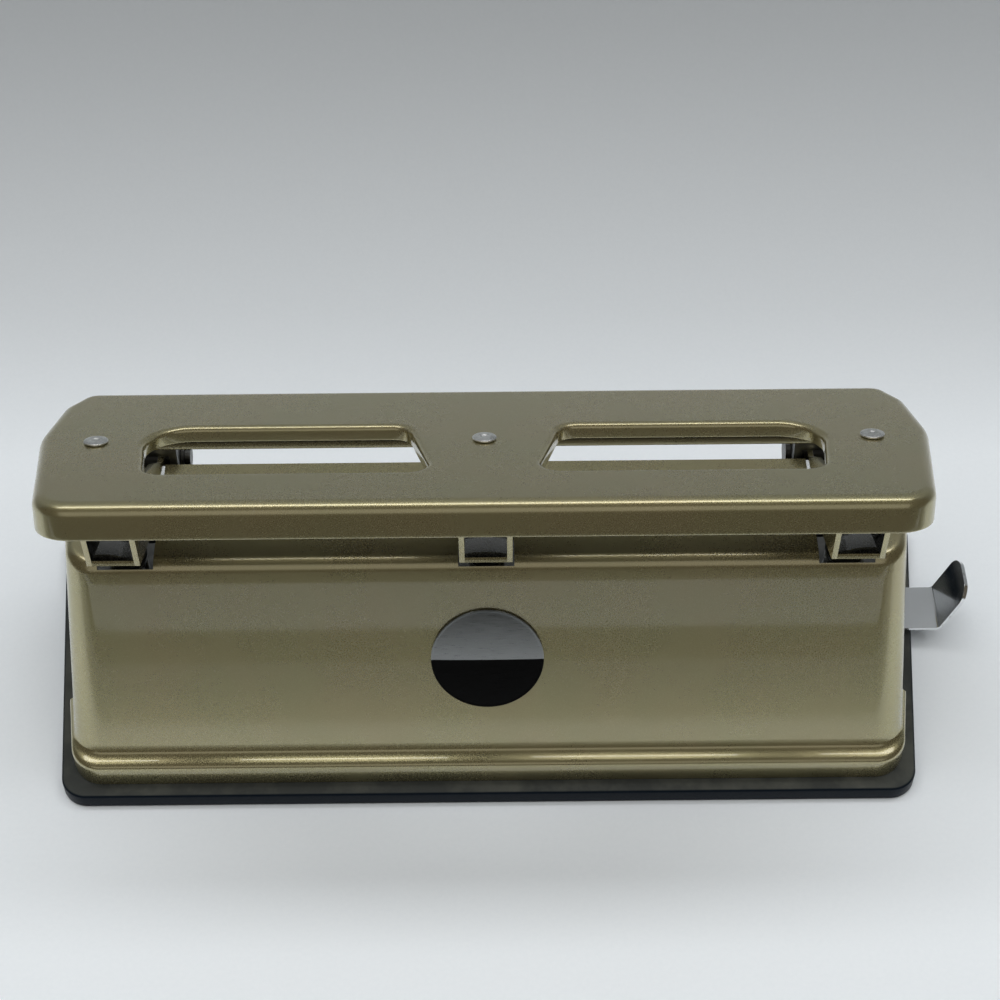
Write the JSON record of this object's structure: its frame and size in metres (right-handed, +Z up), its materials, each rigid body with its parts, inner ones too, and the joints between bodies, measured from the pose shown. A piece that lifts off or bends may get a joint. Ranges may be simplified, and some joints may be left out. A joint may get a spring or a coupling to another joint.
{
  "type": "three-hole paper punch",
  "caption": "Desk lever paper punch: a wide riveted handle drives punch pins in a drawn steel cover on a chip tray, with a sliding paper guide.",
  "frame": {"origin": "middle of the chip pan's underside, on the table", "axes": "+X towards the side guide along the punch's length, +Y from the operator towards the paper, +Z up"},
  "size_m": [0.3019, 0.1187, 0.1499],
  "materials": {
    "champagne_paint": "fine metallic enamel, satin",
    "pan_plastic": "moulded, slightly glossy",
    "plain_steel": "plain zinc-plated",
    "head_steel": "rolled, slightly dull",
    "chrome": "bright plated",
    "badge": "printed, satin"
  },
  "bodies": {
    "base": {"badge_plate": "badge", "bed_plate": "plain_steel", "chip_pan": "pan_plastic", "cover": "champagne_paint", "cover_screw_1": "plain_steel", "cover_screw_2": "plain_steel", "cover_screw_3": "plain_steel", "cover_screw_4": "plain_steel", "detent_spring": "plain_steel", "die_bush_left": "plain_steel", "die_bush_middle": "plain_steel", "die_bush_right": "plain_steel", "guide_clip_1": "plain_steel", "guide_clip_2": "plain_steel", "head_rivet_left_a": "plain_steel", "head_rivet_left_b": "plain_steel", "head_rivet_middle_a": "plain_steel", "head_rivet_middle_b": "plain_steel", "head_rivet_right_a": "plain_steel", "head_rivet_right_b": "plain_steel", "hinge_clip_left": "plain_steel", "hinge_clip_middle": "plain_steel", "hinge_clip_right": "plain_steel", "hinge_pin_left": "plain_steel", "hinge_pin_middle": "plain_steel", "hinge_pin_right": "plain_steel", "hinge_sleeve_left": "plain_steel", "hinge_sleeve_middle": "plain_steel", "hinge_sleeve_right": "plain_steel", "paper_stop": "plain_steel", "punch_head_left": "head_steel", "punch_head_middle": "head_steel", "punch_head_right": "head_steel", "return_spring_left": "plain_steel", "return_spring_middle": "plain_steel", "return_spring_right": "plain_steel", "stop_screw_left": "plain_steel", "stop_screw_right": "plain_steel"},
    "handle": {"handle_plate": "champagne_paint", "lever_arm_left": "champagne_paint", "lever_arm_middle": "champagne_paint", "lever_arm_right": "champagne_paint", "handle_rivet_left": "plain_steel", "handle_rivet_middle": "plain_steel", "handle_rivet_right": "plain_steel"},
    "punch_left": {"punch_pin_left": "plain_steel", "spring_clip_left": "plain_steel"},
    "punch_middle": {"punch_pin_middle": "plain_steel", "spring_clip_middle": "plain_steel"},
    "punch_right": {"punch_pin_right": "plain_steel", "spring_clip_right": "plain_steel"},
    "guide": {"side_guide": "chrome"}
  },
  "joints": [
    {"name": "handle_hinge", "type": "hinge", "parent": "base", "child": "handle", "pos_m": [0, 0.028, 0.072], "axis": [1, 0, 0], "range_deg": [0, 8.5]},
    {"name": "punch_slide_left", "type": "slide", "parent": "base", "child": "punch_left", "axis": [0, 0, -1], "range_m": [0, 0.0065], "stiffness_N_per_m": 1500, "springref_m": -0.006, "deforming": ["return_spring_left"]},
    {"name": "punch_slide_middle", "type": "slide", "parent": "base", "child": "punch_middle", "axis": [0, 0, -1], "range_m": [0, 0.0065], "stiffness_N_per_m": 1500, "springref_m": -0.006, "deforming": ["return_spring_middle"]},
    {"name": "punch_slide_right", "type": "slide", "parent": "base", "child": "punch_right", "axis": [0, 0, -1], "range_m": [0, 0.0065], "stiffness_N_per_m": 1500, "springref_m": -0.006, "deforming": ["return_spring_right"]},
    {"name": "guide_slide", "type": "slide", "parent": "base", "child": "guide", "axis": [1, 0, 0], "range_m": [-0.009, 0.02]}
  ],
  "couplings": [
    {"joint": "punch_slide_left", "follows": "handle_hinge", "m_per_rad": 0.0429},
    {"joint": "punch_slide_middle", "follows": "handle_hinge", "m_per_rad": 0.0429},
    {"joint": "punch_slide_right", "follows": "handle_hinge", "m_per_rad": 0.0429}
  ]
}
